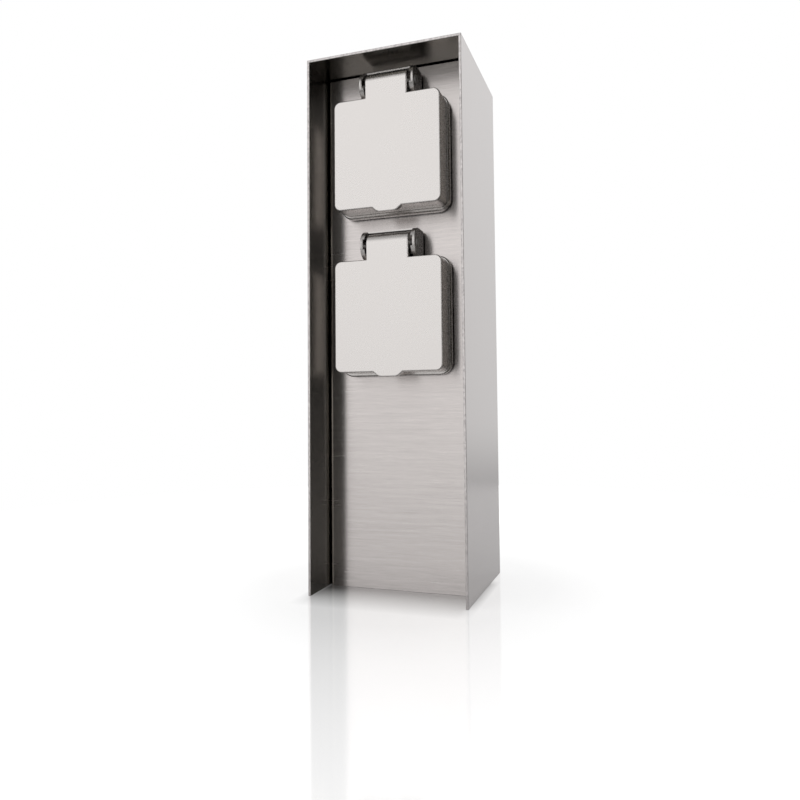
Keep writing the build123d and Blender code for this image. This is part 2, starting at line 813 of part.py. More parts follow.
def lid_seal(level, centre):
    """The flat ring inside the lid that closes on the frame's collar."""
    with BuildPart() as seal:
        with BuildSketch(front_plane(centre, collar_face + seal_gap)):
            Circle(seal_radius)
            Circle(insert_radius - seal_overhang, mode=Mode.SUBTRACT)
        extrude(amount=lid_inner_face - collar_face - seal_gap)
    save(seal, f"{level}_lid_seal")


def hinge_pin(level, centre):
    """The pin on which the lid swings, from ear to ear."""
    with BuildPart() as pin:
        with BuildSketch(side_plane(centre)):
            with Locations((pin_out, pin_rise)):
                Circle(pin_radius)
        extrude(amount=ear_outer, both=True)
        chamfer(pin.edges().filter_by(GeomType.CIRCLE), edge_break)
    save(pin, f"{level}_hinge_pin")


def hinge_spring(level, centre):
    """The closing spring round the pin, one leg in the frame and one in the lid's tab."""
    start = (spring_length / 2, panel_y - pin_out, centre + pin_rise)
    with BuildPart() as spring:
        with BuildLine() as coil:
            Helix(spring_pitch, spring_length, spring_radius, start, (-1, 0, 0))
        with BuildSketch(Plane(origin=coil.line @ 0, z_dir=coil.line % 0)):
            Circle(spring_wire / 2)
        sweep(is_frenet=True)
        tab_end, wall_end = spring.faces().filter_by(GeomType.PLANE).sort_by(Axis.X)
        extrude(wall_end, amount=wall_leg)
        extrude(tab_end, amount=tab_leg)
    save(spring, f"{level}_hinge_spring")


def socket_insert(level, centre):
    """The insulating insert: plug well in front, contact chambers behind its floor."""
    with BuildPart() as insert:
        with BuildSketch(front_plane(centre, insert_rear)):
            Circle(insert_body_radius)
        extrude(amount=insert_length + gasket_thickness)
        with BuildSketch(front_plane(centre, gasket_thickness)):
            Circle(insert_flange_radius)
        extrude(amount=insert_flange_thickness)
        with BuildSketch(front_plane(centre, gasket_thickness + insert_flange_thickness)):
            Circle(insert_radius)
        extrude(amount=insert_proud - gasket_thickness - insert_flange_thickness)
        with BuildSketch(front_plane(centre, insert_proud)):
            Circle(well_radius)
        extrude(amount=-guide_rib_set_back, mode=Mode.SUBTRACT)
        chamfer(insert.edges().group_by(Axis.Y)[0], well_chamfer)
        with BuildSketch(front_plane(centre, insert_proud - guide_rib_set_back)):
            Circle(well_radius)
            with GridLocations(2 * (well_radius - guide_rib_reach / 2), 1, 2, 1):
                Rectangle(guide_rib_reach, guide_rib_width, mode=Mode.SUBTRACT)
        extrude(amount=guide_rib_set_back - well_depth, mode=Mode.SUBTRACT)
        with BuildSketch(front_plane(centre, insert_proud - guide_rib_set_back)):
            with GridLocations(1, clip_slot_top + clip_slot_bottom, 1, 2):
                Rectangle(2 * clip_slot_half, clip_slot_top - clip_slot_bottom)
        extrude(amount=insert_rear - insert_proud + guide_rib_set_back, mode=Mode.SUBTRACT)
        with BuildSketch(front_plane(centre, well_bottom)):
            with GridLocations(plug_pin_spacing, 1, 2, 1):
                Circle(plug_hole_radius)
        extrude(amount=-well_floor, mode=Mode.SUBTRACT)
        with BuildSketch(front_plane(centre, chamber_front)):
            with GridLocations(plug_pin_spacing, 1, 2, 1):
                Rectangle(chamber_width, chamber_height)
        extrude(amount=insert_rear - chamber_front, mode=Mode.SUBTRACT)
        with BuildSketch(front_plane(centre, insert_rear)):
            Rectangle(earth_block_width + 2 * contact_play, earth_block_height + 2 * contact_play)
        extrude(amount=earth_block_depth + contact_play, mode=Mode.SUBTRACT)
        with BuildSketch(front_plane(centre, insert_rear)):
            with GridLocations(2 * cover_screw_x, 1, 2, 1):
                Circle(cover_screw_radius)
        extrude(amount=cover_screw_length - cover_thickness, mode=Mode.SUBTRACT)
    save(insert, f"{level}_socket_insert")


def earth_bridge(level, centre):
    """The earth strap behind the insert, bent forward into the well's two side clips."""
    strap_out = insert_rear - clip_thickness / 2
    with BuildPart() as bridge:
        with BuildSketch(side_plane(centre)):
            with BuildLine():
                FilletPolyline(
                    (clip_tip_out, clip_leg - clip_tip_set_in),
                    (clip_bulge_out, well_radius - clip_bulge),
                    (well_bottom, clip_leg),
                    (strap_out, clip_leg),
                    (strap_out, -clip_leg),
                    (well_bottom, -clip_leg),
                    (clip_bulge_out, clip_bulge - well_radius),
                    (clip_tip_out, clip_tip_set_in - clip_leg),
                    radius=clip_fold,
                )
            trace(line_width=clip_thickness)
        extrude(amount=clip_width / 2, both=True)
        with BuildSketch(front_plane(centre, insert_rear)):
            Rectangle(earth_block_width, earth_block_height)
        extrude(amount=earth_block_depth)
    save(bridge, f"{level}_earth_bridge")


def pin_contact(level, centre, pole, name):
    """A split sleeve for one plug pin, with its push-in terminal behind."""
    terminal_front = insert_rear + terminal_depth
    sleeve_length = chamber_front - contact_play - terminal_front
    with BuildPart() as contact:
        with BuildSketch(front_plane(centre, terminal_front)):
            with Locations((pole * contact_x, 0)):
                Circle(sleeve_bore + sleeve_wall)
                Circle(sleeve_bore, mode=Mode.SUBTRACT)
                Rectangle(sleeve_slit, 2 * chamber_height, mode=Mode.SUBTRACT)
        extrude(amount=sleeve_length)
        with BuildSketch(front_plane(centre, insert_rear)):
            with Locations((pole * contact_x, 0)):
                Rectangle(chamber_width - 2 * contact_play, chamber_height - 2 * contact_play)
        extrude(amount=terminal_depth)
    save(contact, f"{level}_{name}")


def rear_cover(level, centre):
    """The disc that closes the insert's back, with two wire holes for each pole."""
    with BuildPart() as cover:
        with BuildSketch(front_plane(centre, cover_rear)):
            Circle(insert_body_radius)
            with GridLocations(contact_x, lead_spacing, 3, 2):
                Circle(lead_radius + lead_hole_play, mode=Mode.SUBTRACT)
            with GridLocations(2 * cover_screw_x, 1, 2, 1):
                Circle(cover_screw_radius + screw_play, mode=Mode.SUBTRACT)
        extrude(amount=cover_thickness)
        with BuildSketch(front_plane(centre, insert_rear)):
            Rectangle(2 * clip_slot_half, 2 * clip_slot_top)
        extrude(amount=-clip_thickness - contact_play, mode=Mode.SUBTRACT)
    save(cover, f"{level}_rear_cover")


def cover_screws(level, centre):
    """The two pan-head screws that hold the rear cover."""
    with BuildPart() as screws:
        with BuildSketch(front_plane(centre, cover_rear)):
            with GridLocations(2 * cover_screw_x, 1, 2, 1):
                Circle(cover_head_radius)
        extrude(amount=-cover_head_height)
        fillet(screws.edges().group_by(Axis.Y)[-1], cover_head_height / 3)
        with BuildSketch(front_plane(centre, cover_rear)):
            with GridLocations(2 * cover_screw_x, 1, 2, 1):
                Circle(cover_screw_radius)
        extrude(amount=cover_screw_length)
        with BuildSketch(front_plane(centre, cover_rear - cover_head_height)):
            with GridLocations(2 * cover_screw_x, 1, 2, 1):
                Rectangle(2 * cover_screw_radius, recess_width)
                Rectangle(recess_width, 2 * cover_screw_radius)
        extrude(amount=recess_depth, mode=Mode.SUBTRACT)
    save(screws, f"{level}_cover_screws")


os.makedirs("parts", exist_ok=True)
housing_shell()
front_panel()
base_plate()
housing_screws()
housing_nuts()
cable_grommet()
clamp_saddle()
clamp_strap_piece()
clamp_screws()
earth_stud()
earth_lug()
earth_nut()
terminal_block()
block_contacts()
block_screws()
block_studs()
block_nuts()
pole_leads("live_leads", -1, insert_length)
pole_leads("earth_leads", 0, insert_length + clip_thickness)
pole_leads("neutral_leads", 1, insert_length)
earth_link()
for level, centre in (("upper", upper_centre), ("lower", lower_centre)):
    socket_frame(level, centre)
    socket_gasket(level, centre)
    frame_screws(level, centre)
    frame_nuts(level, centre)
    socket_lid(level, centre)
    lid_seal(level, centre)
    hinge_pin(level, centre)
    hinge_spring(level, centre)
    socket_insert(level, centre)
    earth_bridge(level, centre)
    pin_contact(level, centre, -1, "live_contact")
    pin_contact(level, centre, 1, "neutral_contact")
    rear_cover(level, centre)
    cover_screws(level, centre)
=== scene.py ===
import json
import math

import bmesh
import bpy
from mathutils import Matrix, Vector


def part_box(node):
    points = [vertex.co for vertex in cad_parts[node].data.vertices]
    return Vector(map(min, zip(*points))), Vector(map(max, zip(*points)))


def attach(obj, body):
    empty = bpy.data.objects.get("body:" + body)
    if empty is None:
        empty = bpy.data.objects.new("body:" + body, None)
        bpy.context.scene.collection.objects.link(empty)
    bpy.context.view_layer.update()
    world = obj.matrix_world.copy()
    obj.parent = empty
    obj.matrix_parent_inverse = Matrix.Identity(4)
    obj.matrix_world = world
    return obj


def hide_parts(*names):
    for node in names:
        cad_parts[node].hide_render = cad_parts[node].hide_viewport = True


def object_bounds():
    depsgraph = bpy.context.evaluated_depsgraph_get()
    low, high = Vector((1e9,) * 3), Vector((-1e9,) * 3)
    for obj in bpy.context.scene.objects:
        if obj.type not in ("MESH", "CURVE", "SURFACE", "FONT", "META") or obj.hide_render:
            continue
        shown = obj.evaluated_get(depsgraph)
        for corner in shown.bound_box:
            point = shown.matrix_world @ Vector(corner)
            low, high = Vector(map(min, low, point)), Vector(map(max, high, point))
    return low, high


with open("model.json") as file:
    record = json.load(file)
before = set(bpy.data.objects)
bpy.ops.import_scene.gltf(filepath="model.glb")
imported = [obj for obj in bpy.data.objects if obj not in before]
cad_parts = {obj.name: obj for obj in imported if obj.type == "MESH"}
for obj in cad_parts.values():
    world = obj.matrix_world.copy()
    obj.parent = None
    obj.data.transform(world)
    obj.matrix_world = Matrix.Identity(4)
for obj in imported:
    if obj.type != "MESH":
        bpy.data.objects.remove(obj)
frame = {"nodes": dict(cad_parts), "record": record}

bl_info = {
    "name": "Outdoor socket post",
    "version": (1, 0, 0),
    "blender": (4, 5, 0),
    "location": "3D View > Sidebar > Socket Post",
    "description": "Builds the visible pieces, finishes and studio of an outdoor socket post",
    "category": "Object",
}

NODES = frame["nodes"]
CAD_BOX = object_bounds()
SLOTS = {part["node"]: part["material_slot"] for part in frame["record"]["subparts"]}
LEVELS = ("upper", "lower")
MM = 0.001

# Level directions, as seen from where the camera stands
TO_CAMERA = (0.342, -0.94, 0.0)
TO_RIGHT = (0.94, 0.342, 0.0)


# Sizes and colours that a user would change


def length(name, description, value):
    """A property for a length, with its usual value in millimetres."""
    return bpy.props.FloatProperty(
        name=name, description=description, subtype="DISTANCE", unit="LENGTH",
        min=0, precision=5, default=value * MM)


def base_colour(name, value):
    """A property for the base colour of a finish."""
    return bpy.props.FloatVectorProperty(
        name=name, description=f"Base colour of the {name.lower()}",
        subtype="COLOR", size=3, min=0, max=1, default=value)


class PostSizes(bpy.types.PropertyGroup):
    """Sizes of the sheet-metal parts, the lids and the hinge pins."""

    sheet: length("Sheet", "Thickness of the folded steel sheet", 1.5)
    fold_radius: length("Fold radius", "Outer radius of the folds", 2.5)
    edge_break: length("Edge break", "Rounding of the sheet's cut edges", 0.3)
    panel_hole: length("Panel hole", "Radius of the panel's cut-out for a socket", 22.8)
    panel_ease: length("Panel ease", "How much further each side of the panel reaches than its solid", 0.6)
    screw_hole: length("Screw hole", "Radius of the clearance holes", 1.75)
    screw_head: length("Screw head", "Radius of a countersunk head", 3.0)
    frame_screw_offset: length("Frame screw offset", "From a socket's middle to its frame screws", 25.5)
    housing_screw_x: length("Housing screw X", "From the middle to the housing's rear screws", 28.0)
    housing_screw_z: length("Housing screw Z", "Height of the housing's rear screws", 14.0)
    lid_wall: length("Lid wall", "Thickness of the lid", 2.0)
    lid_corner: length("Lid corner", "Corner radius of the lid", 3.8)
    lid_edge: length("Lid edge", "Rounding around the lid's face", 0.7)
    lid_break: length("Lid break", "Rounding of the lid's other edges", 0.25)
    lip_root: length("Lip root", "Width of the finger lip at the lid's edge", 17.2)
    lip_tip: length("Lip tip", "Width of the finger lip at its tip", 10.8)
    lip_reach: length("Lip reach", "How far the finger lip stands below the lid", 2.7)
    lip_thickness: length("Lip thickness", "Thickness of the finger lip", 3.0)
    lip_corner: length("Lip corner", "Corner radius at the finger lip's tip", 1.6)
    tab_width: length("Tab width", "Width of the hinge tab", 24.6)
    tab_thickness: length("Tab thickness", "Thickness of the hinge tab", 2.6)
    knuckle_radius: length("Knuckle radius", "Outer radius of the hinge knuckle", 6.1)
    pin_bore: length("Pin bore", "Radius of the bore for the hinge pin", 1.55)
    spring_room: length("Spring room", "Radius of the hollow around the spring", 4.4)
    spring_window: length("Spring window", "How far the spring's opening reaches in front of the pin", 0.8)
    spring_half: length("Spring half", "Half the width of the hollow around the spring", 4.6)
    pin_head: length("Pin head", "Radius of the hinge pin's riveted ends", 2.7)
    pin_head_height: length("Pin head height", "How far a riveted end stands off its ear", 0.35)


class PostFinishes(bpy.types.PropertyGroup):
    """Colours of the post's finishes."""

    housing: base_colour("Housing steel", (0.63, 0.596, 0.588))
    # Painted shade: the inside is painted darker for the dark reflections within the post
    housing_inside_shade: base_colour("Inside of the housing", (0.3, 0.288, 0.262))
    panel: base_colour("Brushed panel", (0.7, 0.656, 0.64))
    inner_steel: base_colour("Inner steel", (0.6, 0.6, 0.58))
    lid: base_colour("Lid metal", (0.765, 0.733, 0.713))
    socket_frame: base_colour("Socket frame metal", (0.63, 0.606, 0.588))
    screw: base_colour("Screw steel", (0.55, 0.55, 0.54))
    spring: base_colour("Spring steel", (0.4, 0.4, 0.4))
    seal: base_colour("Seal rubber", (0.02, 0.02, 0.02))
    insert: base_colour("Insert plastic", (0.045, 0.045, 0.047))
    block: base_colour("Terminal block plastic", (0.75, 0.74, 0.7))
    nylon: base_colour("Clamp nylon", (0.03, 0.03, 0.03))
    brass: base_colour("Contact brass", (0.72, 0.55, 0.26))
    tinned: base_colour("Tinned copper", (0.7, 0.68, 0.64))
    live: base_colour("Live insulation", (0.16, 0.06, 0.025))
    neutral: base_colour("Neutral insulation", (0.03, 0.12, 0.42))
    earth: base_colour("Earth insulation", (0.1, 0.35, 0.06))
    earth_stripe: base_colour("Earth stripe", (0.75, 0.6, 0.03))


class PostStudio(bpy.types.PropertyGroup):
    """Camera, floor and light."""

    camera_place: bpy.props.FloatVectorProperty(
        name="Camera place", description="Where the camera stands", subtype="TRANSLATION",
        unit="LENGTH", size=3, default=(0.13145, -0.39709, 0.10477))
    camera_yaw: bpy.props.FloatProperty(
        name="Camera yaw", description="Turn of the camera to the left",
        subtype="ANGLE", default=math.radians(18.998))
    camera_pitch: bpy.props.FloatProperty(
        name="Camera pitch", description="Tilt of the camera upwards",
        subtype="ANGLE", default=math.radians(2.734))
    camera_roll: bpy.props.FloatProperty(
        name="Camera roll", description="Turn of the camera about its own line of sight",
        subtype="ANGLE", default=math.radians(-0.513))
    camera_lens: bpy.props.FloatProperty(
        name="Lens", description="Focal length on a 36 mm sensor", unit="CAMERA", default=31.805)
    camera_shift: bpy.props.FloatProperty(
        name="Vertical shift", description="Shift of the lens as a share of the frame",
        default=-0.0375)
    floor_radius: bpy.props.FloatProperty(
        name="Floor radius", description="Radius of the pale floor", unit="LENGTH", default=0.5)
    key_power: bpy.props.FloatProperty(
        name="Key light", description="Power of the soft light at the front left",
        unit="POWER", default=2.2)
    side_power: bpy.props.FloatProperty(
        name="Side light", description="Power of the soft light at the right",
        unit="POWER", default=0.6)
    top_power: bpy.props.FloatProperty(
        name="Top light", description="Power of the soft light overhead",
        unit="POWER", default=1.6)


# Materials


class Wire:
    """An output socket. An expression on it adds the Math nodes that work it out."""

    def __init__(self, finish, socket):
        self.finish = finish
        self.socket = socket

    def maths(self, operation, *values):
        return self.finish.node("ShaderNodeMath", {"operation": operation}, dict(enumerate(values)))

    def __add__(self, other):
        return self.maths("ADD", self, other)

    __radd__ = __add__

    def __sub__(self, other):
        return self.maths("SUBTRACT", self, other)

    def __rsub__(self, other):
        return self.maths("SUBTRACT", other, self)

    def __mul__(self, other):
        return self.maths("MULTIPLY", self, other)

    def __abs__(self):
        return self.maths("ABSOLUTE", self)

    def sine(self):
        return self.maths("SINE", self)


class Finish:
    """A node tree with the one method that adds a node to it."""

    def __init__(self, owner):
        owner.use_nodes = True
        self.owner = owner
        self.tree = owner.node_tree

    def node(self, kind, settings=None, inputs=None, output=0):
        """Adds a node, sets it, fills its sockets and returns one output."""
        made = self.tree.nodes.new(kind)
        for name, value in (settings or {}).items():
            setattr(made, name, value)
        for name, value in (inputs or {}).items():
            self.fill(made.inputs[name], value)
        return Wire(self, made.outputs[output])

    def fill(self, socket, value):
        """Links a wire to a socket, or sets the socket to a value."""
        if isinstance(value, Wire):
            self.tree.links.new(value.socket, socket)
        else:
            socket.default_value = value

    def seen(self):
        """1 where the camera looks straight at it, and 0 in reflections and for the light it gives."""
        return self.node("ShaderNodeLightPath", output="Is Camera Ray")


class Surface(Finish):
    """A procedural material on the Principled shader."""

    def __init__(self, name):
        super().__init__(bpy.data.materials.new(name))
        self.name = name
        self.shader = self.tree.nodes["Principled BSDF"]
        self.place = self.node("ShaderNodeTexCoord", output="Object")

    def set(self, **sockets):
        """Fills the shader's sockets, with _ for the blanks in their names."""
        for name, value in sockets.items():
            self.fill(self.shader.inputs[name.replace("_", " ")], value)

    def axes(self):
        """The place on the surface as x, y and z."""
        parts = self.node("ShaderNodeSeparateXYZ", inputs={0: self.place}).socket.node
        return [Wire(self, parts.outputs[i]) for i in range(3)]

    def stretched(self, scale):
        """The place on the surface, scaled along each axis."""
        return self.node("ShaderNodeMapping", inputs={"Vector": self.place, "Scale": scale})

    def noise(self, scale, detail=2.0, roughness=0.5, vector=None):
        """Cloudy values between 0 and 1, finer at a larger scale."""
        return self.node("ShaderNodeTexNoise", inputs={
            "Vector": vector or self.place, "Scale": scale, "Detail": detail, "Roughness": roughness})

    def ramp(self, factor, low, high, start=0.0, end=1.0):
        """A value that goes from start to end as the factor goes from low to high."""
        return self.node("ShaderNodeMapRange", {"clamp": True}, {
            "Value": factor, "From Min": low, "From Max": high, "To Min": start, "To Max": end})

    def blend(self, factor, first, second):
        """A colour that goes from the first to the second as the factor goes from 0 to 1."""
        first, second = (value if isinstance(value, Wire) else (*value, 1) for value in (first, second))
        return self.node("ShaderNodeMix", {"data_type": "RGBA"}, {0: factor, 6: first, 7: second}, output=2)

    def bump(self, height, strength, distance):
        """A normal that follows a height, for a surface with fine relief."""
        return self.node("ShaderNodeBump", inputs={
            "Height": height, "Strength": strength, "Distance": distance})


class Sky(Finish):
    """The world's light, worked out from the direction that a ray takes."""

    def __init__(self, world):
        super().__init__(world)
        self.direction = self.node("ShaderNodeTexCoord", output="Generated")

    def along(self, axis):
        """How far the ray goes along an axis."""
        return self.node("ShaderNodeVectorMath", {"operation": "DOT_PRODUCT"},
                         {0: self.direction, 1: axis}, output="Value")

    def soft(self, value, low, high):
        """Goes smoothly from 0 to 1 as the value goes from low to high."""
        return self.node("ShaderNodeMapRange", {"interpolation_type": "SMOOTHSTEP"},
                         {"Value": value, "From Min": low, "From Max": high})


def tinted(colour, factor):
    """A colour made darker or lighter."""
    return tuple(min(1, channel * factor) for channel in colour)


def grey(level):
    """Three channels, or three axes, that are alike."""
    return (level, level, level)


def brushed_metal(name, colour, grain, roughness, spread=0.06, shade=0.05, stretch=0.55):
    """Metal brushed one way. Its streaks are long along the axes where the grain is low."""
    surface = Surface(name)
    fine = surface.noise(1, 3, 0.6, surface.stretched(grain))
    coarse = surface.noise(1, 2, 0.5, surface.stretched(0.28 * Vector(grain)))
    cloud = surface.noise(14, 3)
    streak = fine * 0.6 + coarse * 0.4
    tone = surface.blend(surface.ramp(streak + cloud * 0.2 - 0.1, 0.3, 0.7),
                         tinted(colour, 1 - shade), tinted(colour, 1 + shade))
    gloss = surface.ramp(streak, 0.2, 0.8, roughness - spread, roughness + spread)
    surface.set(Base_Color=tone, Metallic=1.0, Roughness=gloss,
                Normal=surface.bump(streak, 0.08, 0.02 * MM),
                Anisotropic=stretch, Anisotropic_Rotation=0.25)
    return surface


def satin_metal(name, colour, roughness, scale=900.0, depth=0.02 * MM, shade=0.04, spread=0.06):
    """Blasted or tumbled metal with a fine even grain."""
    surface = Surface(name)
    grain = surface.noise(scale, 2, 0.6)
    cloud = surface.noise(45, 3)
    tone = surface.blend(surface.ramp(cloud * 0.6 + grain * 0.4, 0.3, 0.7),
                         tinted(colour, 1 - shade), tinted(colour, 1 + shade))
    surface.set(Base_Color=tone, Metallic=1.0,
                Roughness=surface.ramp(grain * 0.5 + cloud * 0.5, 0.3, 0.7,
                                       roughness - spread, roughness + spread),
                Normal=surface.bump(grain, 0.3, depth))
    return surface


def moulded(name, colour, roughness, lift=0.25):
    """Moulded plastic or rubber with a fine spark-eroded texture."""
    surface = Surface(name)
    grain = surface.noise(1400, 2, 0.6)
    cloud = surface.noise(60, 3)
    tone = surface.blend(surface.ramp(cloud, 0.3, 0.7), colour, tinted(colour, 1 + lift))
    surface.set(Base_Color=tone,
                Roughness=surface.ramp(cloud * 0.5 + grain * 0.5, 0.3, 0.7,
                                       roughness - 0.08, roughness + 0.08),
                Normal=surface.bump(grain, 0.4, 0.03 * MM))
    return surface


def housing_finish(colours):
    """Satin steel outside. Inside, the sheet is painted darker, a painted shade for the dark reflections
    within the post.
    """
    surface = Surface("stainless_housing")
    x, y, z = surface.axes()
    low, high = CAD_BOX
    # The painted shade of the inside starts within the sheet, between 0.8 and 1.2 mm below its outer face
    skin, core = (high - Vector(grey(depth * MM)) for depth in (0.8, 1.2))
    streak = surface.noise(1, 3, 0.6, surface.stretched((900, 900, 25)))
    cloud = surface.noise(9, 3)
    inside = (surface.ramp(abs(x), skin.x, core.x) * surface.ramp(y, skin.y, core.y)
              * surface.ramp(z, skin.z, core.z))
    outer = surface.blend(surface.ramp(streak * 0.5 + cloud * 0.5, 0.3, 0.7),
                          tinted(colours.housing, 0.97), tinted(colours.housing, 1.03))
    # Painted shade: the inside's darker colour stands in for the dark reflections within the post
    inner_painted_shade = surface.blend(surface.ramp(streak * 0.4 + cloud * 0.6, 0.3, 0.7),
                          tinted(colours.housing_inside_shade, 0.88), tinted(colours.housing_inside_shade, 1.12))
    edge = surface.ramp(y, low.y + 0.3 * MM, low.y + 0.1 * MM)
    nicks = surface.ramp(surface.noise(1, 3, 0.7, surface.stretched((900, 900, 500))), 0.35, 0.6)
    cut_edge = surface.blend(nicks, tinted(colours.housing, 0.72), tinted(colours.housing, 1.05))
    sheet = surface.blend(inside, outer, inner_painted_shade)
    surface.set(Base_Color=surface.blend(edge, sheet, cut_edge), Metallic=1.0,
                Roughness=surface.ramp(streak, 0.2, 0.8, 0.17, 0.24),
                Normal=surface.bump(streak, 0.1, 0.01 * MM))
    return surface


def earth_finish(colours):
    """Green insulation with yellow stripes."""
    surface = moulded("earth_insulation", colours.earth, 0.45)
    x, y, z = surface.axes()
    stripe = surface.ramp(((x + y + z) * 1500.0).sine(), -0.1, 0.1)
    surface.set(Base_Color=surface.blend(stripe, colours.earth, colours.earth_stripe))
    return surface


def make_finishes(colours):
    """Every material slot of the record, by name."""
    surfaces = (
        housing_finish(colours),
        brushed_metal("brushed_panel", colours.panel, (110, 110, 3400), 0.26,
                      spread=0.025, shade=0.1, stretch=0.85),
        brushed_metal("inner_steel", colours.inner_steel, (120, 2600, 120), 0.4),
        satin_metal("lid_metal", colours.lid, 0.27,
                    scale=1500.0, depth=0.002 * MM, shade=0.012, spread=0.015),
        satin_metal("frame_metal", colours.socket_frame, 0.27,
                    scale=1500.0, depth=0.003 * MM, shade=0.02, spread=0.015),
        satin_metal("screw_steel", colours.screw, 0.5),
        satin_metal("spring_steel", colours.spring, 0.28),
        satin_metal("contact_brass", colours.brass, 0.28),
        satin_metal("tinned_copper", colours.tinned, 0.3),
        moulded("seal_rubber", colours.seal, 0.62),
        moulded("insert_plastic", colours.insert, 0.45),
        moulded("block_plastic", colours.block, 0.42, lift=0.05),
        moulded("clamp_nylon", colours.nylon, 0.5),
        moulded("live_insulation", colours.live, 0.42),
        moulded("neutral_insulation", colours.neutral, 0.42),
        earth_finish(colours),
    )
    return {surface.name: surface.owner for surface in surfaces}


# Modelling


def deselect():
    bpy.ops.object.select_all(action="DESELECT")


def activate(piece):
    """Makes a piece the active and only selected one."""
    deselect()
    piece.select_set(True)
    bpy.context.view_layer.objects.active = piece


def settle(name):
    """Moves the active object's place into its mesh, names it and returns it."""
    bpy.ops.object.transform_apply(location=True, rotation=True, scale=True)
    piece = bpy.context.object
    piece.name = piece.data.name = name
    return piece


def add_block(name, low, high):
    """Adds a cuboid between two corners."""
    deselect()
    low, high = Vector(low), Vector(high)
    bpy.ops.mesh.primitive_cube_add(size=1, location=(low + high) / 2, scale=high - low)
    return settle(name)


def add_rod(name, radius, start, end, vertices=48):
    """Adds a cylinder from one point to another."""
    deselect()
    run = Vector(end) - Vector(start)
    turn = run.to_track_quat("Z", "Y").to_euler()
    bpy.ops.mesh.primitive_cylinder_add(
        vertices=vertices, radius=radius, depth=run.length,
        location=(Vector(start) + Vector(end)) / 2, rotation=turn)
    return settle(name)


def edit():
    """Opens the active piece's mesh for editing."""
    bpy.ops.object.mode_set(mode="EDIT")


def leave():
    """Closes the mesh again."""
    bpy.ops.object.mode_set(mode="OBJECT")


def pick(kind, test):
    """Selects those faces or edges of the open mesh that pass a test."""
    bpy.ops.mesh.select_mode(type="FACE" if kind == "faces" else "EDGE")
    bpy.ops.mesh.select_all(action="DESELECT")
    piece = bpy.context.object
    mesh = bmesh.from_edit_mesh(piece.data)
    chosen = [element for element in getattr(mesh, kind) if test(element)]
    if not chosen:
        raise RuntimeError(f"{piece.name} has no such {kind}")
    for element in chosen:
        element.select_set(True)
    mesh.select_flush_mode()
    bmesh.update_edit_mesh(piece.data)


def middle(element):
    """The middle of a face or an edge."""
    return sum((vert.co for vert in element.verts), Vector()) / len(element.verts)


def runs(edge, axis):
    """Whether an edge runs along an axis, 0, 1 or 2."""
    run = edge.verts[1].co - edge.verts[0].co
    return abs(run[axis]) > 0.999 * run.length


def near(first, second):
    """Whether two lengths agree to a hundredth of a millimetre."""
    return abs(first - second) < 0.01 * MM


def cut(test, place, normal):
    """Cuts the faces that pass a test along a plane."""
    pick("faces", test)
    bpy.ops.mesh.bisect(plane_co=place, plane_no=normal)


def pull(x=0.0, y=0.0, z=0.0):
    """Extrudes what is selected."""
    bpy.ops.mesh.extrude_region_move(TRANSFORM_OT_translate={"value": (x, y, z)})


def modify(piece, kind, **settings):
    """Adds a modifier to a piece and applies it."""
    activate(piece)
    modifier = piece.modifiers.new(kind.title(), kind)
    for name, value in settings.items():
        setattr(modifier, name, value)
    bpy.ops.object.modifier_apply(modifier=modifier.name)


def combine(piece, other, operation):
    """Joins another solid to a piece, or cuts it away, and deletes it."""
    modify(piece, "BOOLEAN", object=other, operation=operation, solver="EXACT")
    bpy.data.objects.remove(other)


def soften(piece, width, segments=2):
    """Rounds a piece's sharp edges."""
    modify(piece, "BEVEL", width=width, segments=segments, limit_method="ANGLE",
           angle_limit=math.radians(40), use_clamp_overlap=True)


def finish_piece(piece, body, node):
    """Cleans and shades a piece, gives it its node's finish and lets it stand for the node."""
    activate(piece)
    edit()
    bpy.ops.mesh.select_all(action="SELECT")
    bpy.ops.mesh.remove_doubles(threshold=0.002 * MM)
    leave()
    bpy.ops.object.shade_smooth_by_angle(angle=math.radians(35))
    modify(piece, "WEIGHTED_NORMAL", weight=100, keep_sharp=True)
    piece.data.materials.clear()
    piece.data.materials.append(NODES[node].data.materials[0])
    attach(piece, body)
    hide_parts(node)


def socket_centre(level):
    """The height of a socket's middle."""
    low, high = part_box(f"{level}_lid_seal")
    return (low.z + high.z) / 2


# Operators


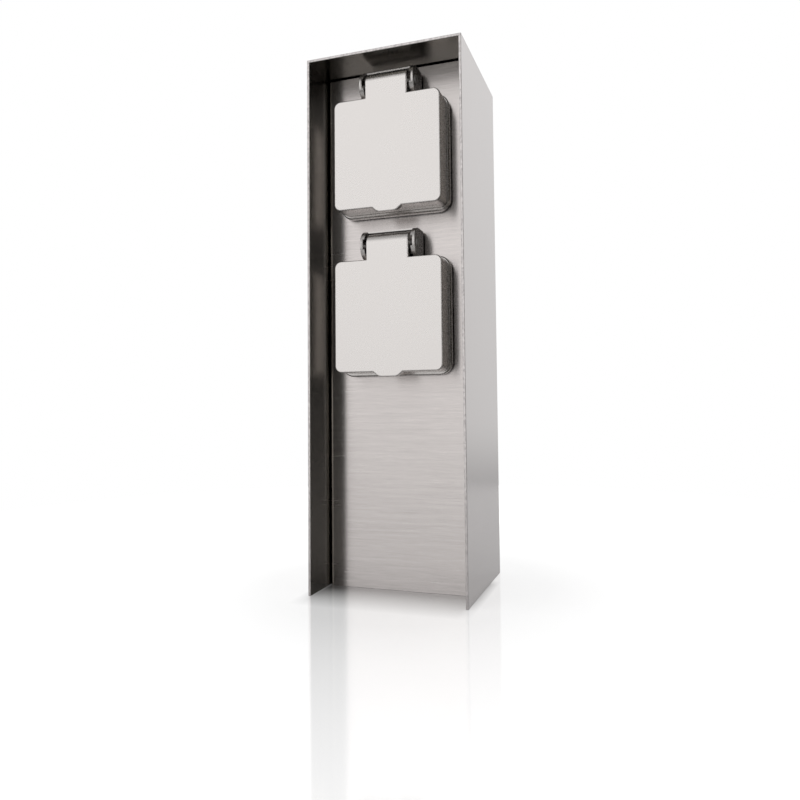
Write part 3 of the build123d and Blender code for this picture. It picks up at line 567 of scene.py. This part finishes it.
class POST_OT_stage(bpy.types.Operator):
    """Sets up the floor, the world, the soft lights and the camera"""

    bl_idname = "socket_post.stage"
    bl_label = "Studio"

    def execute(self, context):
        studio = context.scene.post_studio
        self.floor(studio.floor_radius)
        self.world(context.scene)
        self.lamp("Key light", (-0.5, -0.5, 1.2), 1.1, studio.key_power)
        self.lamp("Side light", (1.15, 0.45, 0.5), 1.0, studio.side_power)
        self.lamp("Top light", (-0.1, -0.2, 1.35), 1.0, studio.top_power)
        self.camera(context.scene, studio)
        context.scene.view_settings.view_transform = "Standard"
        return {"FINISHED"}

    def floor(self, radius):
        """Adds the pale floor. It mirrors the post a little, and a painted contact shadow darkens it where
        the walls enclose it.
        """
        deselect()
        bpy.ops.mesh.primitive_circle_add(vertices=96, radius=radius, fill_type="NGON")
        floor = bpy.context.object
        floor.name = "Floor"
        surface = Surface("Floor")
        x, y = surface.axes()[:2]
        distance = surface.node("ShaderNodeVectorMath", {"operation": "LENGTH"},
                                {0: surface.place}, output="Value")
        # Painted contact shadow: the floor between the walls, in front of the panel, is painted darker and
        # not lifted
        between_walls = surface.ramp(abs(x), 50 * MM, 42 * MM)
        towards_panel = surface.ramp(y, -60 * MM, -22 * MM)
        behind_panel = surface.ramp(y, 10 * MM, 20 * MM)
        contact_shadow_mask = between_walls * towards_panel * (1 - behind_panel)
        paint = surface.blend(surface.ramp(distance, 120 * MM, 400 * MM), grey(0.52), grey(0.42))
        matt = surface.node("ShaderNodeBsdfDiffuse", inputs={
            "Color": surface.blend(contact_shadow_mask, paint, grey(0.32))})
        gloss = surface.node("ShaderNodeBsdfGlossy", inputs={"Color": (1, 1, 1, 1), "Roughness": 0.06})
        shine = surface.node("ShaderNodeFresnel", inputs={"IOR": 2.2}) * 1.3
        body = surface.node("ShaderNodeMixShader", inputs={0: shine, 1: matt, 2: gloss})
        # The lift is left out where the contact shadow is painted
        glow = surface.seen() * surface.ramp(distance, 80 * MM, 300 * MM, 0.42, 0.75) * (1 - contact_shadow_mask)
        lift = surface.node("ShaderNodeEmission", inputs={"Color": (1, 1, 1, 1), "Strength": glow})
        both = surface.node("ShaderNodeAddShader", inputs={0: body, 1: lift})
        surface.fill(surface.tree.nodes["Material Output"].inputs["Surface"], both)
        floor.data.materials.append(surface.owner)

    def world(self, scene):
        """Lights the post from all around, with the darker zones that its metal mirrors.

        Each zone is 0 outside and 1 inside, by how far a ray goes along an axis.
        """
        world = bpy.data.worlds.new("Studio")
        scene.world = world
        sky = Sky(world)
        facing = sky.along(TO_CAMERA)
        across = sky.along(TO_RIGHT)
        up = sky.along((0.0, 0.0, 1.0))
        behind_camera = sky.soft(abs(across - 0.08), 0.42, 0.26) * sky.soft(facing, 0.1, 0.5)
        below = sky.soft(up, -0.22, -0.4)
        rear_floor = sky.soft(up, -0.02, -0.2) * sky.soft(facing, -0.3, -0.7)
        overhead = sky.soft(up, 0.5, 0.9)
        right = sky.soft(across, 0.6, 0.8) * sky.soft(facing, 0.1, 0.3)
        level = ((0.86 + facing * 0.12 + up * 0.22 + right * 0.35 - behind_camera * 0.95)
                 * (1 - below * 0.85) * (1 - rear_floor * 0.65) * (1 - overhead * 0.6))
        seen = sky.seen()
        background = sky.tree.nodes["Background"]
        sky.fill(background.inputs["Color"], (1, 1, 1, 1))
        sky.fill(background.inputs["Strength"], seen + (1 - seen) * level)

    def lamp(self, name, place, size, power):
        """Adds a soft round lamp that points at the post and doesn't show in its gloss."""
        deselect()
        target = Vector((0, 0, 0.14))
        aim = target - Vector(place)
        bpy.ops.object.light_add(type="AREA", location=place,
                                 rotation=aim.to_track_quat("-Z", "Y").to_euler())
        lamp = bpy.context.object
        lamp.name = name
        lamp.data.shape = "DISK"
        lamp.data.size = size
        lamp.data.energy = power
        lamp.visible_glossy = False

    def camera(self, scene, studio):
        """Sets the camera where the photograph was taken from."""
        deselect()
        bpy.ops.object.camera_add()
        camera = bpy.context.object
        camera.matrix_world = (Matrix.Translation(studio.camera_place)
                               @ Matrix.Rotation(studio.camera_yaw, 4, "Z")
                               @ Matrix.Rotation(math.pi / 2 + studio.camera_pitch, 4, "X")
                               @ Matrix.Rotation(studio.camera_roll, 4, "Z"))
        camera.data.sensor_fit = "HORIZONTAL"
        camera.data.sensor_width = 36
        camera.data.lens = studio.camera_lens
        camera.data.shift_y = studio.camera_shift
        camera.data.clip_start = 0.01
        scene.camera = camera


class POST_OT_finishes(bpy.types.Operator):
    """Makes the finishes and gives every CAD node the one of its material slot"""

    bl_idname = "socket_post.finishes"
    bl_label = "Finishes"

    def execute(self, context):
        finishes = make_finishes(context.scene.post_finishes)
        for name, node in NODES.items():
            node.data.materials.clear()
            node.data.materials.append(finishes[SLOTS[name]])
        return {"FINISHED"}


class POST_OT_housing(bpy.types.Operator):
    """Folds the outer sheet: top, two sides and back, with its countersunk screw holes"""

    bl_idname = "socket_post.housing"
    bl_label = "Housing"

    def execute(self, context):
        sizes = context.scene.post_sizes
        low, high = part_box("housing_shell")
        piece = add_block("housing_sheet", low, high)
        edit()
        pick("edges", lambda edge: runs(edge, 2) and middle(edge).y > 0)
        bpy.ops.mesh.bevel(offset=sizes.fold_radius, segments=8)
        pick("faces", lambda face: face.normal.y < -0.99 or face.normal.z < -0.99)
        bpy.ops.mesh.delete(type="FACE")
        leave()
        modify(piece, "SOLIDIFY", thickness=sizes.sheet, offset=-1, use_even_offset=True)
        soften(piece, sizes.edge_break)
        for side in (-1, 1):
            self.countersink(piece, side * sizes.housing_screw_x, high.y, sizes)
        finish_piece(piece, "post", "housing_shell")
        return {"FINISHED"}

    def countersink(self, piece, x, rear, sizes):
        """Cuts one countersunk hole through the back."""
        z = sizes.housing_screw_z
        sink = sizes.screw_head - sizes.screw_hole
        cutter = add_rod("countersink", sizes.screw_hole,
                         (x, rear - 2 * sizes.sheet, z), (x, rear - sink, z))
        edit()
        pick("faces", lambda face: face.normal.y > 0.99)
        pull(y=2 * sink)
        bpy.ops.transform.resize(value=[1 + 2 * sink / sizes.screw_hole] * 3,
                                 center_override=(x, rear + sink, z))
        leave()
        combine(piece, cutter, "DIFFERENCE")


class POST_OT_front_panel(bpy.types.Operator):
    """Folds the brushed front panel, with its cut-outs for the sockets and their screws"""

    bl_idname = "socket_post.front_panel"
    bl_label = "Front panel"

    def execute(self, context):
        sizes = context.scene.post_sizes
        low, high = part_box("front_panel")
        ease = Vector((sizes.panel_ease, 0, 0))
        piece = add_block("brushed_front", low - ease, high + ease)
        edit()
        pick("edges", lambda edge: runs(edge, 2) and middle(edge).y < low.y + MM)
        bpy.ops.mesh.bevel(offset=sizes.fold_radius, segments=8)
        pick("faces", lambda face: face.normal.y > 0.99 or abs(face.normal.z) > 0.99)
        bpy.ops.mesh.delete(type="FACE")
        leave()
        modify(piece, "SOLIDIFY", thickness=sizes.sheet, offset=-1, use_even_offset=True)
        soften(piece, sizes.edge_break / 2)
        for level in LEVELS:
            centre = socket_centre(level)
            self.hole(piece, sizes.panel_hole, 0, centre, low.y, sizes, 96)
            for across in (-1, 1):
                for up in (-1, 1):
                    self.hole(piece, sizes.screw_hole, across * sizes.frame_screw_offset,
                              centre + up * sizes.frame_screw_offset, low.y, sizes, 24)
        finish_piece(piece, "post", "front_panel")
        return {"FINISHED"}

    def hole(self, piece, radius, x, z, front, sizes, vertices):
        """Cuts one round hole through the panel."""
        cutter = add_rod("hole", radius, (x, front - sizes.sheet, z),
                         (x, front + 2 * sizes.sheet, z), vertices)
        combine(piece, cutter, "DIFFERENCE")


class POST_OT_lids(bpy.types.Operator):
    """Models the two sprung lids, each with its finger lip and hinge tab"""

    bl_idname = "socket_post.lids"
    bl_label = "Lids"

    def execute(self, context):
        for level in LEVELS:
            piece = self.lid(level, context.scene.post_sizes)
            finish_piece(piece, f"{level}_lid_body", f"{level}_lid")
        return {"FINISHED"}

    def lid(self, level, sizes):
        """Models one lid as a shallow tray, then pulls out its lip and tab."""
        low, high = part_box(f"{level}_lid")
        front, rear = low.y, high.y
        bottom = low.z + sizes.lip_reach
        width = high.x - low.x
        top = bottom + width
        pin = Vector((0, front + sizes.knuckle_radius, high.z - sizes.knuckle_radius))
        piece = add_block(f"{level}_lid_cover", (low.x, front, bottom), (high.x, rear, top))
        edit()
        pick("edges", lambda edge: runs(edge, 1))
        bpy.ops.mesh.bevel(offset=sizes.lid_corner, segments=8)
        pick("faces", lambda face: face.normal.y > 0.99)
        bpy.ops.mesh.inset(thickness=sizes.lid_wall)
        pull(y=front + sizes.lid_wall - rear)
        self.finger_lip(front, bottom, sizes)
        self.hinge_tab(front, top, pin, sizes)
        self.round_face(front, pin, sizes)
        leave()
        soften(piece, sizes.lid_break)
        self.knuckle(piece, pin, sizes)
        return piece

    def finger_lip(self, front, bottom, sizes):
        """Pulls the lip out of the lid's lower wall."""
        def under(face):
            return face.normal.z < -0.99 and near(middle(face).z, bottom)

        def root(face):
            return (under(face) and abs(middle(face).x) < sizes.lip_root / 2
                    and middle(face).y < front + sizes.lip_thickness)

        def tip_corner(edge):
            return runs(edge, 1) and middle(edge).z < bottom - sizes.lip_reach + 0.1 * MM

        for side in (-0.5, 0.5):
            cut(under, (side * sizes.lip_root, 0, 0), (1, 0, 0))
        cut(under, (0, front + sizes.lip_thickness, 0), (0, 1, 0))
        pick("faces", root)
        pull(z=-sizes.lip_reach)
        bpy.ops.transform.resize(value=(sizes.lip_tip / sizes.lip_root, 1, 1), center_override=(0, 0, 0))
        pick("edges", tip_corner)
        bpy.ops.mesh.bevel(offset=sizes.lip_corner, segments=5)

    def hinge_tab(self, front, top, pin, sizes):
        """Pulls the tab out of the lid's upper wall and curls it over the pin."""
        def above(face):
            return face.normal.z > 0.99 and near(middle(face).z, top)

        def root(face):
            return (above(face) and abs(middle(face).x) < sizes.tab_width / 2
                    and middle(face).y < front + sizes.tab_thickness)

        for side in (-0.5, 0.5):
            cut(above, (side * sizes.tab_width, 0, 0), (1, 0, 0))
        cut(above, (0, front + sizes.tab_thickness, 0), (0, 1, 0))
        pick("faces", root)
        pull(z=pin.z - top)
        curl = math.radians(82.5)
        bpy.ops.mesh.spin(steps=11, angle=curl, center=pin, axis=(1, 0, 0))

    def round_face(self, front, pin, sizes):
        """Rounds the edge all around the lid's face and along the tab."""
        def is_front(face):
            return face.normal.y < -0.99 and near(middle(face).y, front)

        def on_curl(edge):
            return all(near(math.hypot(vert.co.y - pin.y, vert.co.z - pin.z), sizes.knuckle_radius)
                       and vert.co.z > pin.z - 0.01 * MM for vert in edge.verts)

        def outline(edge):
            faces = edge.link_faces
            if sum(map(is_front, faces)) == 1:
                return True
            return on_curl(edge) and sum(abs(face.normal.x) > 0.99 for face in faces) == 1

        pick("edges", outline)
        bpy.ops.mesh.bevel(offset=sizes.lid_edge, segments=3)

    def knuckle(self, piece, pin, sizes):
        """Adds the barrel behind the curl, then cuts the pin's bore and the spring's room."""
        half = Vector((sizes.tab_width / 2, 0, 0))
        under_curl = 0.03 * MM
        barrel = add_rod("barrel", sizes.knuckle_radius - under_curl, pin - half, pin + half, 96)
        soften(barrel, sizes.lid_edge, 3)
        combine(piece, barrel, "UNION")
        combine(piece, add_rod("bore", sizes.pin_bore, pin - 2 * half, pin + 2 * half, 32), "DIFFERENCE")
        room = Vector((sizes.spring_half, 0, 0))
        combine(piece, add_rod("room", sizes.spring_room, pin - room, pin + room, 64), "DIFFERENCE")
        clear = 1.1 * sizes.knuckle_radius
        tall = Vector((0, 0, clear))
        deep = Vector((0, clear, 0))
        window = Vector((0, sizes.spring_window, 0))
        opening = add_block("opening", pin - room - tall - window, pin + room + tall + deep)
        combine(piece, opening, "DIFFERENCE")
        behind_tab = Vector((0, sizes.knuckle_radius - sizes.tab_thickness, 0))
        opening = add_block("opening", pin - room - tall - behind_tab, pin + room)
        combine(piece, opening, "DIFFERENCE")


class POST_OT_hinge_pins(bpy.types.Operator):
    """Models the two hinge pins, with their ends riveted over the ears"""

    bl_idname = "socket_post.hinge_pins"
    bl_label = "Hinge pins"

    def execute(self, context):
        sizes = context.scene.post_sizes
        for level in LEVELS:
            low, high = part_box(f"{level}_hinge_pin")
            centre = (low + high) / 2
            reach = Vector(((high.x - low.x) / 2, 0, 0))
            piece = add_rod(f"{level}_riveted_pin", (high.z - low.z) / 2, centre - reach, centre + reach)
            for side in (-1, 1):
                ear = centre + side * reach
                rise = Vector((side * sizes.pin_head_height, 0, 0))
                head = add_rod("head", sizes.pin_head, ear - rise / 2, ear + rise)
                soften(head, 0.8 * sizes.pin_head_height, 3)
                combine(piece, head, "UNION")
            finish_piece(piece, "post", f"{level}_hinge_pin")
        return {"FINISHED"}


class POST_PT_panel(bpy.types.Panel):
    """Lists the post's operators, sizes, colours and studio settings"""

    bl_idname = "POST_PT_panel"
    bl_label = "Outdoor Socket Post"
    bl_space_type = "VIEW_3D"
    bl_region_type = "UI"
    bl_category = "Socket Post"

    def draw(self, context):
        for operator in OPERATORS:
            self.layout.operator(operator.bl_idname)
        for group in (context.scene.post_sizes, context.scene.post_finishes, context.scene.post_studio):
            for name in group.__annotations__:
                self.layout.prop(group, name)


OPERATORS = (POST_OT_stage, POST_OT_finishes, POST_OT_housing, POST_OT_front_panel, POST_OT_lids,
             POST_OT_hinge_pins)
CLASSES = (PostSizes, PostFinishes, PostStudio, *OPERATORS, POST_PT_panel)


def register():
    for each in CLASSES:
        bpy.utils.register_class(each)
    bpy.types.Scene.post_sizes = bpy.props.PointerProperty(type=PostSizes)
    bpy.types.Scene.post_finishes = bpy.props.PointerProperty(type=PostFinishes)
    bpy.types.Scene.post_studio = bpy.props.PointerProperty(type=PostStudio)


def unregister():
    del bpy.types.Scene.post_studio
    del bpy.types.Scene.post_finishes
    del bpy.types.Scene.post_sizes
    for each in reversed(CLASSES):
        bpy.utils.unregister_class(each)


def main():
    register()
    bpy.ops.socket_post.stage()
    bpy.ops.socket_post.finishes()
    bpy.ops.socket_post.housing()
    bpy.ops.socket_post.front_panel()
    bpy.ops.socket_post.lids()
    bpy.ops.socket_post.hinge_pins()


if __name__ == "__main__":
    main()
